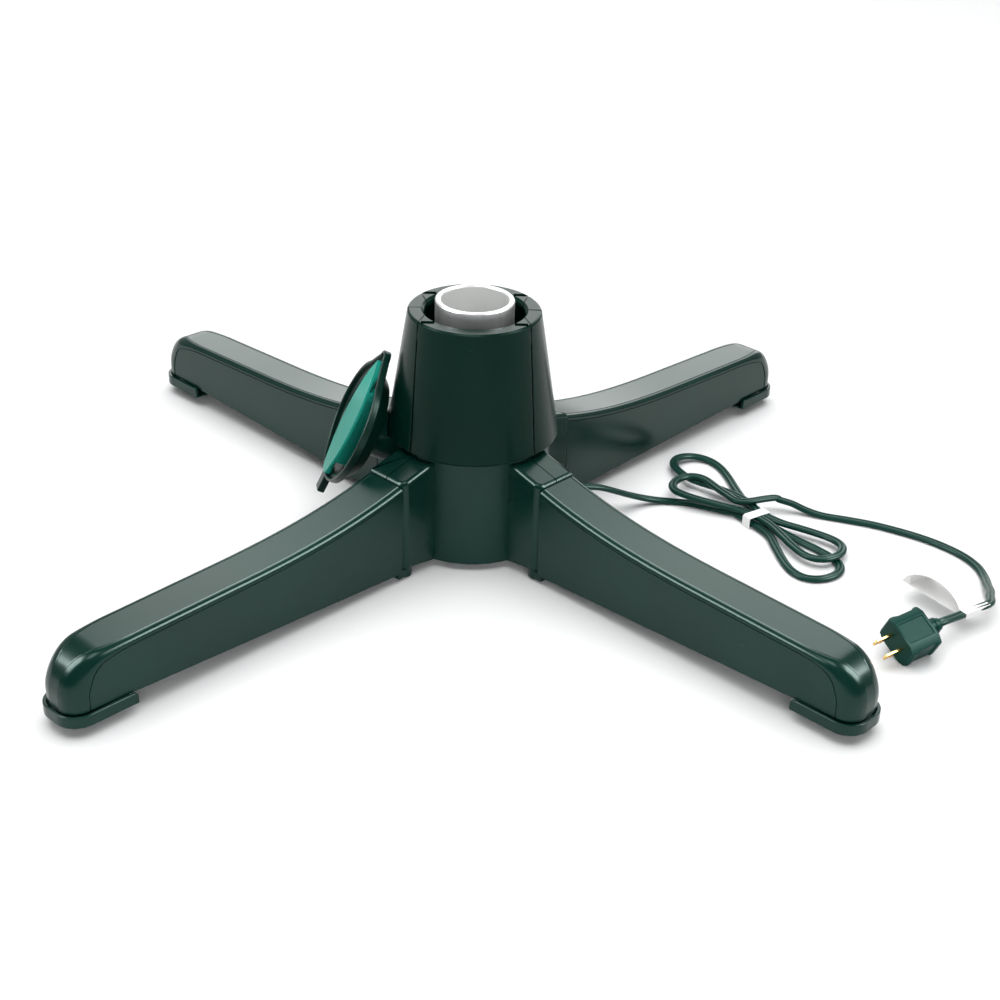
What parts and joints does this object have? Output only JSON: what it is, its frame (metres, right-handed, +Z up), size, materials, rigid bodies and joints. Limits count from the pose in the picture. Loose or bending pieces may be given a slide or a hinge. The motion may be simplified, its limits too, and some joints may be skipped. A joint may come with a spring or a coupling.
{
  "type": "rotating tree stand",
  "caption": "Motor-driven rotating stand for an artificial tree: four folding legs, tapered housing, steel pole tube, side mode dial and mains cord.",
  "frame": {"origin": "On the floor under the axis of the pole tube.", "axes": "+Z up along the tube's axis, +X to the side where the cord leaves, -Y to the front; the legs lie along the diagonals."},
  "size_m": [0.6887, 0.5598, 0.202],
  "materials": {
    "green_plastic": "satin",
    "black_plastic": "satin",
    "acetal": "satin",
    "teal_plastic": "satin",
    "satin_steel": "satin",
    "bearing_steel": "polished",
    "zinc_steel": "zinc plated",
    "brass": "satin",
    "pad_rubber": "matt",
    "cord_pvc": "semi-gloss",
    "tie_plastic": "gloss",
    "tag_paper": "matt",
    "circuit_board": "solder mask",
    "board_parts": "matt"
  },
  "bodies": {
    "housing": {"hub_front_shell": "green_plastic", "hub_right_shell": "green_plastic", "hub_back_shell": "green_plastic", "hub_left_shell": "green_plastic", "bottom_plate": "green_plastic", "plate_screws": "zinc_steel", "cone_front_panel": "green_plastic", "cone_back_panel": "green_plastic", "cone_left_panel": "green_plastic", "cone_right_panel": "green_plastic", "bearing_tower": "black_plastic", "tower_screws": "zinc_steel", "tube_bush": "acetal", "lower_race": "bearing_steel", "motor_can": "zinc_steel", "gearbox": "black_plastic", "gearbox_screws": "zinc_steel", "control_board": "circuit_board", "board_parts": "board_parts", "selector_pod": "green_plastic", "mode_switch": "black_plastic", "hinge_pins": "zinc_steel", "cord_gland": "green_plastic", "cord_lead": "cord_pvc", "cord_hank": "cord_pvc", "cord_tail": "cord_pvc", "cord_tie": "tie_plastic", "cord_tag": "tag_paper", "plug_body": "green_plastic", "plug_blades": "brass"},
    "rotor": {"upper_race": "bearing_steel", "turntable": "black_plastic", "ring_gear": "acetal", "gear_screws": "zinc_steel", "tree_tube": "satin_steel", "pole_stop": "black_plastic"},
    "pinion": {"output_pinion": "acetal"},
    "cage": {"ball_cage": "brass", "bearing_balls": "bearing_steel"},
    "selector": {"dial_dish": "black_plastic", "dial_grip": "teal_plastic", "dial_shaft": "zinc_steel"},
    "leg_back_right_body": {"leg_back_right": "green_plastic", "band_back_right": "green_plastic", "pad_back_right": "pad_rubber"},
    "leg_back_left_body": {"leg_back_left": "green_plastic", "band_back_left": "green_plastic", "pad_back_left": "pad_rubber"},
    "leg_front_left_body": {"leg_front_left": "green_plastic", "band_front_left": "green_plastic", "pad_front_left": "pad_rubber"},
    "leg_front_right_body": {"leg_front_right": "green_plastic", "band_front_right": "green_plastic", "pad_front_right": "pad_rubber"}
  },
  "joints": [
    {"name": "rotor_spin", "type": "hinge", "parent": "housing", "child": "rotor", "pos_m": [0, 0, 0.03], "axis": [0, 0, 1], "continuous": true},
    {"name": "pinion_spin", "type": "hinge", "parent": "housing", "child": "pinion", "pos_m": [0.03818, 0.03818, 0.045], "axis": [0, 0, 1], "continuous": true},
    {"name": "cage_spin", "type": "hinge", "parent": "housing", "child": "cage", "pos_m": [0, 0, 0.015], "axis": [0, 0, 1], "continuous": true},
    {"name": "selector_turn", "type": "hinge", "parent": "housing", "child": "selector", "pos_m": [-0.095, 0, 0.098], "axis": [-0.8939, -0.1352, 0.4274], "range_deg": [-60, 60]},
    {"name": "back_right_fold", "type": "hinge", "parent": "housing", "child": "leg_back_right_body", "pos_m": [0.05091, 0.06824, 0.005], "axis": [0, 0, 1], "range_deg": [0, 45]},
    {"name": "back_left_fold", "type": "hinge", "parent": "housing", "child": "leg_back_left_body", "pos_m": [-0.05091, 0.06824, 0.005], "axis": [0, 0, 1], "range_deg": [-45, 0]},
    {"name": "front_left_fold", "type": "hinge", "parent": "housing", "child": "leg_front_left_body", "pos_m": [-0.05091, -0.06824, 0.005], "axis": [0, 0, 1], "range_deg": [0, 45]},
    {"name": "front_right_fold", "type": "hinge", "parent": "housing", "child": "leg_front_right_body", "pos_m": [0.05091, -0.06824, 0.005], "axis": [0, 0, 1], "range_deg": [-45, 0]}
  ],
  "couplings": [
    {"joint": "pinion_spin", "follows": "rotor_spin", "ratio": -5},
    {"joint": "cage_spin", "follows": "rotor_spin", "ratio": 0.5}
  ]
}
